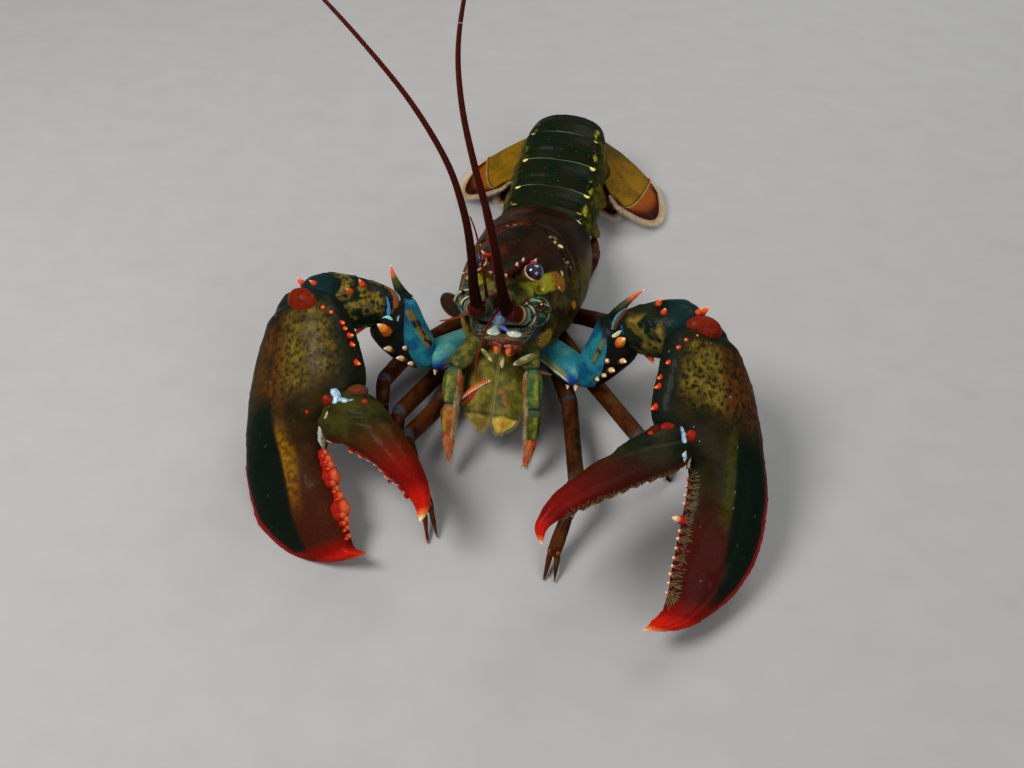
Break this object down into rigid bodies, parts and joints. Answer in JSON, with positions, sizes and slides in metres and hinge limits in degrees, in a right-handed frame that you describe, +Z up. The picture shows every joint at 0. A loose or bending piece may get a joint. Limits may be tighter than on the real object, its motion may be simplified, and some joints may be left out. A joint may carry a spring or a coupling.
{
  "type": "american lobster",
  "caption": "American lobster as a still life-size model: claws spread, head raised, feelers up, tail fan tucked under.",
  "frame": {"origin": "middle of the bounding box at floor level", "axes": "+Z up from the floor; -Y the way the animal faces; +X towards the animal's own left (the slender cutter claw)"},
  "size_m": [0.2812, 0.3254, 0.2535],
  "materials": {
    "carapace_shell": "semi-gloss shell, mottled",
    "tail_shell": "semi-gloss shell, mottled",
    "fan_shell": "semi-gloss shell",
    "claw_shell": "semi-gloss shell, mottled",
    "arm_shell": "semi-gloss shell",
    "leg_shell": "semi-gloss shell",
    "feeler_shell": "semi-gloss shell",
    "mouth_shell": "semi-gloss shell",
    "face_plates": "semi-gloss shell",
    "eye_gloss": "glossy"
  },
  "bodies": {
    "root": {"carapace": "carapace_shell", "head_front": "face_plates", "sternum": "arm_shell", "eye_left": "eye_gloss", "eye_right": "eye_gloss", "antenna_base_left": "feeler_shell", "antenna_base_right": "feeler_shell", "antenna_left_1": "feeler_shell", "antenna_left_2": "feeler_shell", "antenna_left_3": "feeler_shell", "antenna_right_1": "feeler_shell", "antenna_right_2": "feeler_shell", "antenna_right_3": "feeler_shell", "antennule_left": "feeler_shell", "antennule_right": "feeler_shell", "mandibles": "mouth_shell", "maxilliped_left": "mouth_shell", "maxilliped_right": "mouth_shell", "abdomen_1": "tail_shell", "abdomen_2": "tail_shell", "abdomen_3": "tail_shell", "abdomen_4": "tail_shell", "abdomen_5": "tail_shell", "abdomen_6": "tail_shell", "telson": "fan_shell", "uropod_inner_left": "fan_shell", "uropod_inner_right": "fan_shell", "uropod_outer_left": "fan_shell", "uropod_outer_right": "fan_shell", "cutter_ischium": "arm_shell", "cutter_merus": "arm_shell", "cutter_carpus": "claw_shell", "cutter_palm": "claw_shell", "cutter_finger": "claw_shell", "crusher_ischium": "arm_shell", "crusher_merus": "arm_shell", "crusher_carpus": "claw_shell", "crusher_palm": "claw_shell", "crusher_finger": "claw_shell", "leg_1_left_upper": "leg_shell", "leg_1_left_lower": "leg_shell", "leg_1_right_upper": "leg_shell", "leg_1_right_lower": "leg_shell", "leg_2_left_upper": "leg_shell", "leg_2_left_lower": "leg_shell", "leg_2_right_upper": "leg_shell", "leg_2_right_lower": "leg_shell", "leg_3_left_upper": "leg_shell", "leg_3_left_lower": "leg_shell", "leg_3_right_upper": "leg_shell", "leg_3_right_lower": "leg_shell", "leg_4_left_upper": "leg_shell", "leg_4_left_lower": "leg_shell", "leg_4_right_upper": "leg_shell", "leg_4_right_lower": "leg_shell"}
  },
  "joints": []
}
